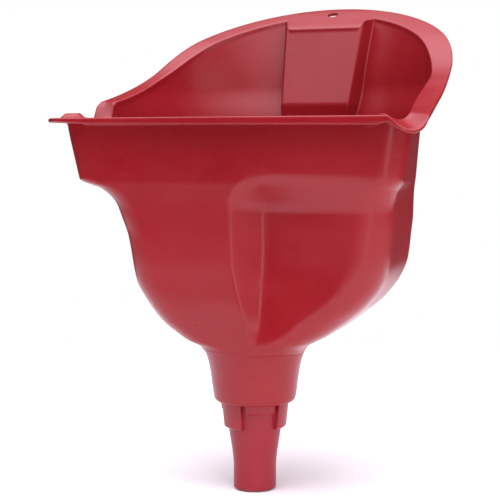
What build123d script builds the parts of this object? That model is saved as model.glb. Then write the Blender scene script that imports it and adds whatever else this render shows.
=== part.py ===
from build123d import *
import math
import os

# Quick-fill funnel. Millimetres, +Z up.
# Origin: on the spout's axis, in the plane of the spout's tip.
# +Y points to the tall rear hood, +X to the side with the recess and the pour notch.

# Walls and rim
WALL = 2.2
FRONT_RIM_Z = 214.0
HOOD_TOP_Z = 300.0
FLARE_Z = 238.0
FLANGE_DROP = 2.5
FLANGE_LOW_Z = 150.0
FLANGE_HIGH_Z = 310.0

# Side profile of the rim, as heights at distances along Y
RAMP_START_Y = -38.0
HOOD_START = (14.0, 225.8)
HOOD_MIDDLE = (70.0, 243.3)
HOOD_STRAIGHT = (120.0, 270.6)
HOOD_SLOPE = 0.485
RIM_REACH = 190.0
RIM_FRONT_REACH = -90.0

# On the left the rim stays level and then steps up to the hood
LEFT_STEP = [(4.5, 214.0), (6.0, 221.0), (9.5, 224.8)]
LEFT_STEP_X = -60.0

# Low raised ears on the rim, just inside both front corners
EAR_SIZE = (11.0, 3.0)
EAR_Y = -42.4
LEFT_EAR = (-93.5, 2.9)
RIGHT_EAR = (90.5, 1.2)

# Pour notch in the front right corner; its floor falls outwards
NOTCH_RADIUS = 14.0
NOTCH_WALL_Z = 210.2
NOTCH_WALL_REACH = 13.0
NOTCH_FALL = 0.36
NOTCH_ANGLE = -52.0
CORNER_CENTRE = (89.5, -31.0)

# Inward step of the rear wall, below the hang hole
PANEL_DEPTH = 17.0
PANEL_FACE_HALF = 21.0
PANEL_TAPER = 0.07
PANEL_SIDE_RUN = 4.5
PANEL_FADE_Z = 172.0
PANEL_FADE_DEPTH = -6.0
PANEL_FULL_Z = 226.0
REAR_WALL_Y = 128.6
REAR_WALL_LEAN = 0.39
BEYOND_Y = 185.0

# Hang hole in the hood's flange
HANG_HOLE_RADIUS = 3.8
HANG_HOLE_Y = 155.0

# Neck and throat
NECK_BLEND = (29.8, 83.0)
NECK_TOP = (29.2, 81.0)
NECK_MIDDLE = (27.0, 74.5)
NECK_FOOT = (24.3, 56.5)
NECK_END_Z = 51.0
NECK_END_FILLET = 3.5
SPOUT_HOLE_RADIUS = 20.0
SEAT_RADIUS = 24.4
SEAT_Z = 77.0
SEAT_TOP_Z = 84.5
THROAT_MOUTH = (28.9, 92.0)
THROAT_RADIUS = 22.4
NECK_FOOT_TAPER = 0.6

# Spout
SLEEVE_TOP_Z = 68.0
SLEEVE_WALL = 1.8
CORE_TOP_RADIUS = 16.6
CORE_MIDDLE = (15.0, 34.0)
LAND_RADIUS = 12.4
LAND_TOP_Z = 13.0
TIP_ROUND = 2.0
RIB_COUNT = 6
RIB_SLOT_ANGLE = 9.0
RIB_ROOT_RADIUS = 14.0
RIB_TOP_RADIUS = 19.8
RIB_TAPER = 0.11
LONG_RIB_END_Z = 36.0
SHORT_RIB_END_Z = 45.5
RIB_CHAMFER = 1.2

# Strainer
SEAT_GAP = 0.3
FRAME_HEIGHT = 4.0
FRAME_BAND = 2.6
BAR_WIDTH = 1.6
BAR_HEIGHT = 1.6
MESH_RADIUS = 22.6
MESH_THICKNESS = 0.5
TAB_WIDTH = 11.0
TAB_HEIGHT = 15.0
TAB_THICKNESS = 2.0
TAB_HOLE_RADIUS = 3.0


class Level:
    """One horizontal section of the bowl: a rounded D with an optional stepped recess in front."""

    def __init__(self, z, left, right, front, back_centre, back_radius, corner,
                 ridge=-1.0, valley=15.5, depth=0.0, setback=0.0, edge=4.0, back_x=0.0):
        self.z = z
        self.left = left
        self.right = right
        self.front = front
        self.back_centre = back_centre
        self.back_radius = back_radius
        self.corner = corner
        self.ridge = ridge
        self.valley = valley
        self.depth = depth
        self.setback = setback
        self.edge = edge
        self.back_x = back_x


HOOD_AND_BASIN = [
    Level(HOOD_TOP_Z, 112.0, 110.5, -52.0, 66.4, 95.8, 14.0),
    Level(FLARE_Z, 107.9, 104.4, -45.5, 46.0, 92.0, 13.0),
    Level(FRONT_RIM_Z, 106.3, 102.0, -43.0, 43.0, 85.3, 13.0),
    Level(179.0, 98.8, 96.5, -41.0, 39.4, 82.8, 13.0),
]
SHELF = [
    Level(174.0, 79.8, 92.0, -40.5, 37.1, 82.8, 14.0, ridge=2.0, valley=17.5, depth=5.5, setback=1.0, edge=6.0),
    Level(168.0, 73.3, 90.0, -40.0, 34.9, 83.2, 15.0, ridge=-0.5, depth=11.0, setback=1.7, edge=6.0),
]
BODY = [
    Level(161.0, 69.8, 88.7, -39.0, 33.4, 83.0, 16.0, depth=13.5, setback=2.0, edge=6.0),
    Level(147.0, 64.3, 87.0, -38.0, 35.1, 81.4, 16.5, depth=13.0, setback=2.0, edge=6.0),
    Level(133.0, 62.1, 85.0, -37.0, 36.1, 79.5, 17.0, depth=12.0, setback=2.0, edge=6.0),
    Level(122.0, 61.3, 80.5, -36.0, 37.5, 75.0, 18.0, ridge=0.5, valley=15.0, depth=10.0, setback=2.0, edge=6.0),
    Level(110.0, 56.4, 71.0, -35.0, 36.8, 66.2, 20.0, ridge=3.5, valley=14.5, depth=8.0, setback=1.5, edge=5.0),
    Level(99.0, 50.5, 57.0, -33.0, 23.2, 54.7, 22.0, ridge=6.0, valley=14.0, depth=4.5, setback=1.0),
    Level(88.0, 35.0, 38.5, -31.0, 5.0, 39.0, 21.0, ridge=6.5, valley=11.5, depth=1.0),
    Level(81.0, 29.2, 29.2, -29.2, 0.0, 29.2, 25.0, ridge=-2.0, valley=2.0),
]
FLANGE = Level(FLANGE_LOW_Z, 113.0, 111.5, -53.0, 68.5, 97.0, 16.0, back_x=1.0)


def unit(vector):
    """The vector's direction."""
    return vector / vector.length


def tangent_point(corner, level, side):
    """Where the straight side from a front corner meets the round back."""
    centre = Vector(level.back_x, level.back_centre)
    reach = corner - centre
    swing = math.acos(level.back_radius / reach.length)
    angle = math.atan2(reach.Y, reach.X) + side * swing
    direction = Vector(math.cos(angle), math.sin(angle))
    return centre + direction * level.back_radius


def front_corners(level):
    """The sharp front corners of a level, from left to right."""
    return [
        Vector(-level.left, level.front),
        Vector(level.ridge, level.front),
        Vector(level.valley, level.front + level.depth),
        Vector(level.right, level.front + level.setback),
    ]


def inset_corner(before, corner, after, inset):
    """A corner moved inwards by the inset from both of its sides."""
    first = unit(corner - before)
    second = unit(after - corner)
    first_normal = Vector(-first.Y, first.X)
    second_normal = Vector(-second.Y, second.X)
    return corner + (first_normal + second_normal) * (inset / (1.0 + first_normal.dot(second_normal)))


def round_corner(before, corner, after, radius):
    """The start, middle and end of the arc that rounds a corner; a flat corner gets a short line."""
    first = unit(corner - before)
    second = unit(after - corner)
    turn = math.acos(max(-1.0, min(1.0, first.dot(second))))
    if turn < math.radians(0.5):
        return corner - first * radius * 0.2, None, corner + second * radius * 0.2
    tangent = radius * math.tan(turn / 2.0)
    start = corner - first * tangent
    end = corner + second * tangent
    bisector = unit(second - first)
    centre = corner + bisector * (radius / math.cos(turn / 2.0))
    return start, centre - bisector * radius, end


def section(level, inset=0.0, lift=0.0):
    """The closed outline of a level, moved inwards and up."""
    corners = front_corners(level)
    right_tangent = tangent_point(corners[-1], level, 1.0)
    left_tangent = tangent_point(corners[0], level, -1.0)
    chain = [left_tangent] + corners + [right_tangent]
    moved = [inset_corner(chain[i - 1], chain[i], chain[i + 1], inset) for i in range(1, 5)]
    back = Vector(level.back_x, level.back_centre)
    shrink = (level.back_radius - inset) / level.back_radius
    right_end = back + (right_tangent - back) * shrink
    left_end = back + (left_tangent - back) * shrink
    chain = [left_end] + moved + [right_end]
    radii = [level.corner - inset, level.edge, level.edge + inset, level.corner - inset]
    height = level.z + lift
    edges = []
    here = left_end
    for i in range(1, 5):
        start, middle, end = round_corner(chain[i - 1], chain[i], chain[i + 1], radii[i - 1])
        edges.append(Line((here.X, here.Y, height), (start.X, start.Y, height)))
        if middle is None:
            edges.append(Line((start.X, start.Y, height), (end.X, end.Y, height)))
        else:
            edges.append(ThreePointArc((start.X, start.Y, height), (middle.X, middle.Y, height),
                                       (end.X, end.Y, height)))
        here = end
    edges.append(Line((here.X, here.Y, height), (right_end.X, right_end.Y, height)))
    top = (level.back_x, level.back_centre + level.back_radius - inset, height)
    edges.append(ThreePointArc((right_end.X, right_end.Y, height), top, (left_end.X, left_end.Y, height)))
    return Wire(edges)


def outer_body():
    """The solid that the bowl's outside would fill."""
    return Solid.make_loft([section(level) for level in HOOD_AND_BASIN + SHELF + BODY], ruled=True)


def inner_body():
    """The hollow inside the bowl. Its sloped floors are lifted as well as moved in, to keep the wall."""
    upper = [section(level, WALL) for level in HOOD_AND_BASIN[:-1]]
    lower = [section(level, WALL, WALL) for level in HOOD_AND_BASIN[-1:] + SHELF + BODY]
    return Solid.make_loft(upper + lower, ruled=True)


def panel_section(z, depth, grow):
    """The plan of the rear step at one height, as a trapezium open to the back. The step widens upwards."""
    wall_y = REAR_WALL_Y + (z - FRONT_RIM_Z) * REAR_WALL_LEAN
    face_y = wall_y - depth - grow
    face_half = PANEL_FACE_HALF + (z - PANEL_FULL_Z) * PANEL_TAPER + grow
    mouth_half = face_half + PANEL_SIDE_RUN
    beyond = BEYOND_Y - wall_y
    points = [
        (-mouth_half - beyond, BEYOND_Y, z),
        (-mouth_half, wall_y, z),
        (-face_half, face_y, z),
        (face_half, face_y, z),
        (mouth_half, wall_y, z),
        (mouth_half + beyond, BEYOND_Y, z),
    ]
    return Wire.make_polygon(points, close=True)


def panel_cutter(grow):
    """The space taken out of the rear wall, fading out downwards; grow adds the wall on its inner side."""
    heights = [(HOOD_TOP_Z + 10.0, PANEL_DEPTH), (PANEL_FULL_Z, PANEL_DEPTH), (PANEL_FADE_Z, PANEL_FADE_DEPTH)]
    wires = [panel_section(z, depth, grow) for z, depth in heights]
    return Solid.make_loft(wires, ruled=True)


def rim_line(drop):
    """The rim's side profile, from the front to beyond the hood, lowered by the drop."""
    straight_end = (RIM_REACH, HOOD_STRAIGHT[1] + (RIM_REACH - HOOD_STRAIGHT[0]) * HOOD_SLOPE)
    ramp_slope = (HOOD_START[1] - FRONT_RIM_Z) / (HOOD_START[0] - RAMP_START_Y)
    down = Vector(0.0, 0.0, -drop)
    front = Vector(0.0, RIM_FRONT_REACH, FRONT_RIM_Z) + down
    ramp = Vector(0.0, RAMP_START_Y, FRONT_RIM_Z) + down
    start = Vector(0.0, *HOOD_START) + down
    middle = Vector(0.0, *HOOD_MIDDLE) + down
    straight = Vector(0.0, *HOOD_STRAIGHT) + down
    end = Vector(0.0, *straight_end) + down
    curve = Spline(start, middle, straight, tangents=(Vector(0, 1, ramp_slope), Vector(0, 1, HOOD_SLOPE)))
    return [Line(front, ramp), Line(ramp, start), curve, Line(straight, end)]


def below_rim(drop):
    """Everything under the rim's profile, as wide as the funnel."""
    edges = rim_line(drop)
    front = edges[0] @ 0.0
    end = edges[-1] @ 1.0
    floor_front = Vector(0.0, front.Y, -20.0)
    floor_end = Vector(0.0, end.Y, -20.0)
    edges += [Line(end, floor_end), Line(floor_end, floor_front), Line(floor_front, front)]
    profile = Face(Wire(edges))
    return Pos(-150, 0, 0) * extrude(profile, amount=300, dir=(1, 0, 0)) - above_left_step(drop)


def above_left_step(drop):
    """The space over the level left rim, in front of where it steps up to the hood."""
    shift = Vector(0.0, drop, -drop)
    corners = [Vector(0.0, y, z) + shift for y, z in LEFT_STEP]
    high = HOOD_TOP_Z
    first = Vector(0.0, RIM_FRONT_REACH, corners[0].Z)
    outline = [first] + corners + [Vector(0.0, corners[-1].Y, high), Vector(0.0, RIM_FRONT_REACH, high)]
    face = Face(Wire.make_polygon(outline, close=True))
    return Pos(-150, 0, 0) * extrude(face, amount=150 + LEFT_STEP_X, dir=(1, 0, 0))


def ear(place, lift):
    """A low raised ear on the rim."""
    block = Box(EAR_SIZE[0], EAR_SIZE[1], lift + 1.0, align=(Align.CENTER, Align.CENTER, Align.MIN))
    return Pos(place, EAR_Y, FRONT_RIM_Z - 1.0) * block


def flange_prism():
    """The flange's outline, as a tall prism: wider than the wall all round."""
    return extrude(Face(section(FLANGE)), amount=FLANGE_HIGH_Z - FLANGE_LOW_Z, dir=(0, 0, 1))


def notch_cylinder(radius):
    """A cylinder along the pour notch, which points out of the front right corner and down."""
    angle = math.radians(NOTCH_ANGLE)
    height = NOTCH_WALL_Z + NOTCH_WALL_REACH * NOTCH_FALL + NOTCH_RADIUS
    plane = Plane(
        origin=(CORNER_CENTRE[0], CORNER_CENTRE[1], height),
        z_dir=(math.cos(angle), math.sin(angle), -NOTCH_FALL),
    )
    return plane * Cylinder(radius, 60.0, align=(Align.CENTER, Align.CENTER, Align.MIN))


def hang_hole():
    """The hole through the hood's flange, square to it."""
    height = HOOD_STRAIGHT[1] + (HANG_HOLE_Y - HOOD_STRAIGHT[0]) * HOOD_SLOPE
    plane = Plane(origin=(0.0, HANG_HOLE_Y, height), z_dir=(0.0, -HOOD_SLOPE, 1.0))
    return plane * Cylinder(HANG_HOLE_RADIUS, 8.0)


def neck_outside():
    """The neck's outer shape."""
    with BuildPart() as neck:
        with BuildSketch(Plane.XZ):
            with BuildLine():
                Polyline((0, NECK_BLEND[1]), NECK_BLEND, NECK_TOP, NECK_MIDDLE, NECK_FOOT,
                         (NECK_FOOT[0] - NECK_FOOT_TAPER, NECK_END_Z), (0, NECK_END_Z), close=True)
            make_face()
        revolve(axis=Axis.Z)
        bottom = neck.edges().filter_by(GeomType.CIRCLE).sort_by(Axis.Z)[0]
        fillet(bottom, NECK_END_FILLET)
    return neck.part


def neck_inside():
    """The throat: the strainer's seat, the tapered bore and the hole that the spout passes through."""
    slope = (NECK_MIDDLE[0] - NECK_FOOT[0]) / (NECK_MIDDLE[1] - NECK_FOOT[1])
    lip_top = NECK_END_Z + WALL
    lip_radius = NECK_FOOT[0] - WALL - (NECK_FOOT[1] - lip_top) * slope
    with BuildPart() as throat:
        with BuildSketch(Plane.XZ):
            with BuildLine():
                Polyline((0, THROAT_MOUTH[1]), THROAT_MOUTH, (SEAT_RADIUS, SEAT_TOP_Z), (SEAT_RADIUS, SEAT_Z),
                         (THROAT_RADIUS, SEAT_Z), (sleeve_radius(SLEEVE_TOP_Z), SLEEVE_TOP_Z),
                         (lip_radius, lip_top), (SPOUT_HOLE_RADIUS, lip_top),
                         (SPOUT_HOLE_RADIUS, NECK_END_Z - 5.0), (0, NECK_END_Z - 5.0), close=True)
            make_face()
        revolve(axis=Axis.Z)
    return throat.part


def sleeve_radius(z):
    """The radius of the tapered bore that the spout's sleeve wedges in."""
    slope = (NECK_MIDDLE[0] - NECK_FOOT[0]) / (NECK_MIDDLE[1] - NECK_FOOT[1])
    return min(THROAT_RADIUS, NECK_FOOT[0] - WALL + (z - NECK_FOOT[1]) * slope)


def bowl():
    """The funnel's main moulding."""
    hollow = inner_body() - panel_cutter(WALL)
    walls = outer_body() - panel_cutter(0.0)
    walls = walls & below_rim(0.0)
    walls += neck_outside()
    prism = flange_prism()
    flange = (below_rim(0.0) - below_rim(FLANGE_DROP)) & prism
    walls += flange
    walls += ear(*LEFT_EAR)
    walls += ear(*RIGHT_EAR)
    walls -= notch_cylinder(NOTCH_RADIUS)
    lip = (notch_cylinder(NOTCH_RADIUS + FLANGE_DROP) - notch_cylinder(NOTCH_RADIUS)) & prism
    walls += lip & below_rim(0.0)
    walls -= hollow
    walls -= neck_inside()
    walls -= hang_hole()
    return walls


def spout():
    """The ribbed tip. It drops in from above and wedges in the neck."""
    lip_top = NECK_END_Z + WALL
    with BuildPart() as tube:
        with BuildSketch(Plane.XZ):
            with BuildLine():
                Polyline((0, SLEEVE_TOP_Z), (sleeve_radius(SLEEVE_TOP_Z), SLEEVE_TOP_Z),
                         (sleeve_radius(lip_top), lip_top), (SPOUT_HOLE_RADIUS, lip_top),
                         (SPOUT_HOLE_RADIUS, NECK_END_Z), (CORE_TOP_RADIUS, NECK_END_Z - 3.0),
                         CORE_MIDDLE, (LAND_RADIUS, LAND_TOP_Z), (LAND_RADIUS, 0), (0, 0), close=True)
            make_face()
        revolve(axis=Axis.Z)
        for index in range(RIB_COUNT):
            end = LONG_RIB_END_Z if index % 2 else SHORT_RIB_END_Z
            add(Rot(0, 0, -60.0 + index * 360.0 / RIB_COUNT) * rib(end))
        with BuildSketch(Plane.XZ):
            with BuildLine():
                Polyline((0, SLEEVE_TOP_Z + 1.0),
                         (sleeve_radius(SLEEVE_TOP_Z) - SLEEVE_WALL, SLEEVE_TOP_Z + 1.0),
                         (sleeve_radius(lip_top) - SLEEVE_WALL, lip_top + 2.0),
                         (CORE_TOP_RADIUS - WALL, NECK_END_Z - 3.0),
                         (CORE_MIDDLE[0] - WALL, CORE_MIDDLE[1]),
                         (LAND_RADIUS - WALL, LAND_TOP_Z), (LAND_RADIUS - WALL, -1.0), (0, -1.0), close=True)
            make_face()
        revolve(axis=Axis.Z, mode=Mode.SUBTRACT)
        tip = tube.edges().filter_by(GeomType.CIRCLE).group_by(Axis.Z)[0].sort_by(SortBy.RADIUS)[-1]
        fillet(tip, TIP_ROUND * 0.5)
    return tube.part


def rib(end_z):
    """One of the raised blocks round the spout's shoulder, centred on +X. The slots between them are air vents."""
    arc = 360.0 / RIB_COUNT - RIB_SLOT_ANGLE
    foot_radius = RIB_TOP_RADIUS - (NECK_END_Z - end_z) * RIB_TAPER
    with BuildPart() as block:
        with BuildSketch(Plane.XZ):
            with BuildLine():
                Polyline((RIB_ROOT_RADIUS, NECK_END_Z), (RIB_TOP_RADIUS, NECK_END_Z),
                         (foot_radius, end_z + RIB_CHAMFER), (foot_radius - RIB_CHAMFER, end_z),
                         (RIB_ROOT_RADIUS, end_z), close=True)
            make_face()
        revolve(axis=Axis.Z, revolution_arc=arc)
    return Rot(0, 0, -arc / 2.0) * block.part


def strainer_frame():
    """The drop-in ring with its cross bars and finger tab."""
    low = SEAT_Z + SEAT_GAP
    outer = SEAT_RADIUS - SEAT_GAP
    ring = Pos(0, 0, low) * Cylinder(outer, FRAME_HEIGHT, align=(Align.CENTER, Align.CENTER, Align.MIN))
    hole = Pos(0, 0, low - 1) * Cylinder(outer - FRAME_BAND, FRAME_HEIGHT + 2,
                                        align=(Align.CENTER, Align.CENTER, Align.MIN))
    frame = ring - hole
    bar_low = low + MESH_THICKNESS + 0.1
    for angle in (0.0, 60.0, 120.0):
        bar = Box(2 * (outer - 1.0), BAR_WIDTH, BAR_HEIGHT, align=(Align.CENTER, Align.CENTER, Align.MIN))
        frame += Pos(0, 0, bar_low) * Rot(0, 0, angle) * bar
    pocket = Pos(0, 0, low - 1) * Cylinder(MESH_RADIUS + 0.1, MESH_THICKNESS + 1.1,
                                          align=(Align.CENTER, Align.CENTER, Align.MIN))
    frame -= pocket
    return frame + finger_tab(bar_low)


def finger_tab(low):
    """The upright tab at the middle of the bars, with a finger hole."""
    plane = Plane(origin=(0, TAB_THICKNESS / 2, low), x_dir=(1, 0, 0), z_dir=(0, -1, 0))
    with BuildPart() as tab:
        with BuildSketch(plane):
            with Locations((0, TAB_HEIGHT / 2)):
                RectangleRounded(TAB_WIDTH, TAB_HEIGHT, 2.5)
            with Locations((0, TAB_HEIGHT - TAB_WIDTH / 2)):
                Circle(TAB_HOLE_RADIUS, mode=Mode.SUBTRACT)
        extrude(amount=TAB_THICKNESS)
    return tab.part


def strainer_mesh():
    """The woven screen, as a plain disc under the bars."""
    return Pos(0, 0, SEAT_Z + SEAT_GAP + 0.1) * Cylinder(
        MESH_RADIUS, MESH_THICKNESS, align=(Align.CENTER, Align.CENTER, Align.MIN))


os.makedirs("parts", exist_ok=True)
NODES = {
    "bowl": bowl(),
    "spout": spout(),
    "strainer_frame": strainer_frame(),
    "strainer_mesh": strainer_mesh(),
}
for name, shape in NODES.items():
    export_step(shape, f"parts/{name}.step")
    print(name, len(shape.solids()), round(shape.volume, 1), shape.is_valid)
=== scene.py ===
import bmesh
import bpy
import math
import numpy as np
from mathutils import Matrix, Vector


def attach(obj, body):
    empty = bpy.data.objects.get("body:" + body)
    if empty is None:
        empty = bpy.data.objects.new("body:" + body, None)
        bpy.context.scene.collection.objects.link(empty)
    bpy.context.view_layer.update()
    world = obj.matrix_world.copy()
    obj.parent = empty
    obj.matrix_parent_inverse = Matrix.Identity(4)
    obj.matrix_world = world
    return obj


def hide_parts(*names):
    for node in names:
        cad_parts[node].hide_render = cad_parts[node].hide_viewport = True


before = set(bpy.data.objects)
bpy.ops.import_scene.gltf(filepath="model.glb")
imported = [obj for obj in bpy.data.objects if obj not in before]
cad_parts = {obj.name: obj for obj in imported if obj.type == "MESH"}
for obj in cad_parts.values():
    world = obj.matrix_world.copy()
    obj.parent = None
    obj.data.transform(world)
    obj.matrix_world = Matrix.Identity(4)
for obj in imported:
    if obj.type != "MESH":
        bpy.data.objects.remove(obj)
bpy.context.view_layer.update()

# Shapes below are worked out in millimetres, in the CAD model's frame. They become metres in the meshes.
MM = 0.001

# Walls and rim
WALL = 2.2
FRONT_RIM_Z = 214.0
RAMP_START_Y = -38.0
HOOD_START = (14.0, 225.8)
HOOD_MIDDLE = (70.0, 243.3)
HOOD_STRAIGHT = (120.0, 270.6)
HOOD_SLOPE = 0.485
LEFT_STEP = (3.8, 9.5)
FLANGE_THICKNESS = 2.3
FLANGE_EDGE_ROUND = 1.1
RIM_INNER_ROUND = 1.2
RIM_FILLET = 2.4

# The front flange turns down into a lip, tallest towards the right
LIP_HEIGHT_LEFT = 1.2
LIP_HEIGHT_RIGHT = 2.8
LIP_THICKNESS = 2.4
LIP_HALF_SPAN = 88.0
# Where the lip fades out: a start and a length, towards the back and at its left and right ends
LIP_FADE_BACK = (-30.0, 14.0)
LIP_FADE_LEFT = (104.0, 26.0)
LIP_FADE_RIGHT = (98.0, 14.0)

# Low raised ears on the rim, just inside both front corners: middle along X, height
LEFT_EAR = (-93.5, 2.9)
RIGHT_EAR = (90.5, 1.2)
EAR_HALF = 5.5
EAR_END_RUN = 2.0
EAR_FRONT = (46.5, 2.5)
EAR_BACK = (-36.0, 3.0)

# Pour notch in the front right corner; its floor falls outwards
NOTCH_RADIUS = 14.0
NOTCH_WALL_Z = 210.2
NOTCH_WALL_REACH = 13.0
NOTCH_FALL = 0.36
NOTCH_ANGLE = math.radians(-52.0)
NOTCH_CENTRE = (89.5, -31.0)
NOTCH_FADE = (2.0, 6.0)

# Inward step of the rear wall
PANEL_DEPTH = 17.0
PANEL_FACE_HALF = 21.0
PANEL_TAPER = 0.07
PANEL_SIDE_RUN = 4.5
PANEL_FADE_Z = 172.0
PANEL_FADE_DEPTH = -6.0
PANEL_FULL_Z = 226.0
PANEL_EDGE_ROUND = 1.2
PANEL_BLEND = 5.0
REAR_WALL_Y = 128.6
REAR_WALL_LEAN = 0.39
STEP_SPAN = 36.0
STEP_SIDE = (33.0, 18.0)
STEP_REACH = 0.45
STEP_FRONT_Y = 70.0

# Hang hole
HANG_HOLE_RADIUS = 3.8
HANG_HOLE_Y = 155.0
HANG_HOLE_CUT = 9.0

# Shelf between the basin and the narrower body
SHELF_TOP_Z = 180.5
SHELF_FOOT_Z = 160.5
RECESS_TOP_Z = 180.0
RECESS_FOOT_Z = 165.0
RECESS_ROUND = 4.0
SHELF_CURVE = 2.8
SHELF_EASE = 3.2

# Heights where one rule for the wall hands over to the next
NECK_ROUND_Z = 54.5
NECK_TOP_Z = 81.0
INNER_FOOT_Z = 90.0
BASIN_FOOT_Z = 179.0
RIM_BLEND_Z = 198.0

# Columns of one section of the bowl, feature by feature, from the left end of the round back
SIDE_COLUMNS = 26
CORNER_COLUMNS = 14
FRONT_COLUMNS = 30
RIDGE_COLUMNS = 10
POCKET_SIDE_COLUMNS = 12
BACK_COLUMNS = 30
STEP_COLUMNS = (3, 36, 9)
# How far each corner's arc may reach along the lines before and after it
CORNER_ROOM = ((0.97, 0.93), (0.06, 0.48), (0.48, 0.06), (0.93, 0.97))

BASIN_KEYS = {
    "z": [BASIN_FOOT_Z, FRONT_RIM_Z, 238.0, 300.0],
    "left": [98.8, 106.3, 107.9, 112.0],
    "right": [96.5, 102.0, 104.4, 110.5],
    "front": [-41.0, -43.0, -45.5, -52.0],
    "back_centre": [39.4, 43.0, 46.0, 66.4],
    "back_radius": [82.8, 85.3, 92.0, 95.8],
    "corner": [13.0, 13.0, 13.0, 14.0],
}
BODY_KEYS = {
    "z": [NECK_TOP_Z, 84.0, 88.0, 99.0, 110.0, 122.0, 133.0, 147.0, 161.0, 168.0, 174.0, 182.0],
    "left": [29.2, 30.6, 35.0, 50.5, 56.4, 61.3, 62.1, 64.3, 69.8, 72.6, 75.0, 77.0],
    "right": [29.2, 31.2, 38.5, 57.0, 71.0, 80.5, 85.0, 87.0, 88.7, 89.3, 90.0, 90.5],
    "front": [-29.2, -29.9, -31.0, -33.0, -35.0, -36.0, -37.0, -38.0, -39.0, -39.6, -40.2, -41.0],
    "back_centre": [0.0, 1.0, 5.0, 23.2, 36.8, 37.5, 36.1, 35.1, 33.4, 34.0, 35.5, 38.0],
    "back_radius": [29.2, 31.6, 39.0, 54.7, 66.2, 75.0, 79.5, 81.4, 83.0, 83.0, 82.9, 82.8],
    "corner": [28.0, 26.5, 21.0, 22.0, 20.0, 18.0, 17.0, 16.5, 16.0, 15.5, 15.0, 15.0],
    "ridge": [-2.0, 3.0, 6.5, 6.0, 3.5, 0.5, -1.0, -1.0, -1.0, -0.5, 2.0, 9.0],
    "valley": [2.0, 7.0, 11.5, 14.0, 14.5, 15.0, 15.5, 15.5, 15.5, 15.5, 17.5, 24.5],
    "depth": [0.0, 0.3, 1.0, 4.5, 8.0, 10.0, 12.0, 13.0, 13.5, 13.7, 14.0, 14.0],
    "setback": [0.0, 0.0, 0.0, 1.0, 1.5, 2.0, 2.0, 2.0, 2.0, 2.0, 2.0, 2.0],
    "edge": [4.0, 4.0, 4.0, 5.0, 6.0, 6.0, 6.0, 6.0, 6.0, 6.0, 6.0, 6.0],
}
FLANGE = {
    "left": 113.0,
    "right": 111.5,
    "front": -53.0,
    "back_x": 1.0,
    "back_centre": 68.5,
    "back_radius": 97.0,
    "corner": 16.0,
}

# Neck, throat and spout
NECK_KEYS = {
    "z": [NECK_ROUND_Z, 57.9, 63.5, 69.0, 74.5, 78.0, NECK_TOP_Z],
    "radius": [23.9, 24.5, 25.2, 26.0, 27.1, 28.2, 29.4],
}
NECK_END_Z = 51.0
NECK_END_ROUND = 3.5
SPOUT_HOLE_RADIUS = 20.0
SEAT_Z = 77.0
NECK_FOOT = (24.3, 56.5)
NECK_SLOPE = 0.15
LIP_TOP_Z = 53.2
# Radius and height down the inside of the neck: seat, bore, lip
THROAT_PROFILE = [
    (27.2, 89.0), (25.8, 86.6), (24.9, 85.2), (24.5, 84.4), (24.4, 83.6), (24.4, 80.5), (24.4, 77.5),
    (24.3, 77.1), (24.0, 77.0), (23.2, 77.0), (22.6, 76.95), (22.4, 76.6), (22.4, 74.0), (22.4, 70.0),
    (22.3, 66.0), (22.0, 60.0), (21.7, 54.6), (21.6, 53.5), (21.3, 53.2), (20.4, 53.2), (20.1, 53.05),
    (20.0, 52.8), (20.0, 51.4), (20.1, 51.05), (20.4, 51.0),
]
NECK_END_RADIUS = 20.4

# Spout
SLEEVE_TOP_Z = 68.0
SLEEVE_WALL = 1.8
SLEEVE_GAP = 0.04
CORE_KEYS = {"z": [0.0, 13.0, 34.0, 48.0], "radius": [12.4, 12.4, 15.0, 16.6]}
TIP_ROUND = 1.0
RIB_COUNT = 6
RIB_HALF_ANGLE = 25.5
RIB_TOP_RADIUS = 19.8
RIB_TAPER = 0.11
RIB_ENDS = (45.5, 36.0)
RIB_CHAMFER = 1.2
RIB_FIRST_ANGLE = -60.0
RIB_SIDE_RUN = 1.0
RIB_END_RUN = 0.25
# Radius and height down the lower bore, from the sleeve to the tip
SPOUT_BORE = [
    (19.0, 54.2), (17.0, 51.4), (14.9, 48.6), (14.4, 48.0), (13.6, 41.0), (12.8, 34.0), (11.5, 23.5),
    (10.3, 13.4), (10.2, 12.0), (10.2, 6.0), (10.2, 0.5), (10.35, 0.15), (10.7, 0.0),
]

# Strainer
SEAT_GAP = 0.3
RING_OUTER = 24.1
RING_INNER = 21.5
RING_HEIGHT = 4.0
POCKET_RADIUS = 22.7
POCKET_HEIGHT = 0.6
RING_ROUND = 0.35
BAR_SIZE = 1.6
BAR_ANGLES = (0.0, 60.0, 120.0)
PLATE_EDGE_ROUND = 0.3
TAB_SIZE = (11.0, 15.0, 2.0)
TAB_CORNER = 2.5
TAB_HOLE_RADIUS = 3.0
SCREEN_RADIUS = 22.3
WIRE_PITCH = 1.6
WIRE_RADIUS = 0.14
WIRE_WAVE = 0.15
WIRE_SIDES = 6
SCREEN_EDGE_RADIUS = 0.22

# Camera: places in metres, angles in degrees, sensor and lens in millimetres, shift as a share of the width
CAMERA_AZIMUTH = 20.0
CAMERA_TILT = 4.3987
CAMERA_DISTANCE = 0.7475
CAMERA_HEIGHT = 0.1961
CAMERA_SENSOR = 36.0
CAMERA_LENS = 93.6
CAMERA_SHIFT = -0.0098

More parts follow.
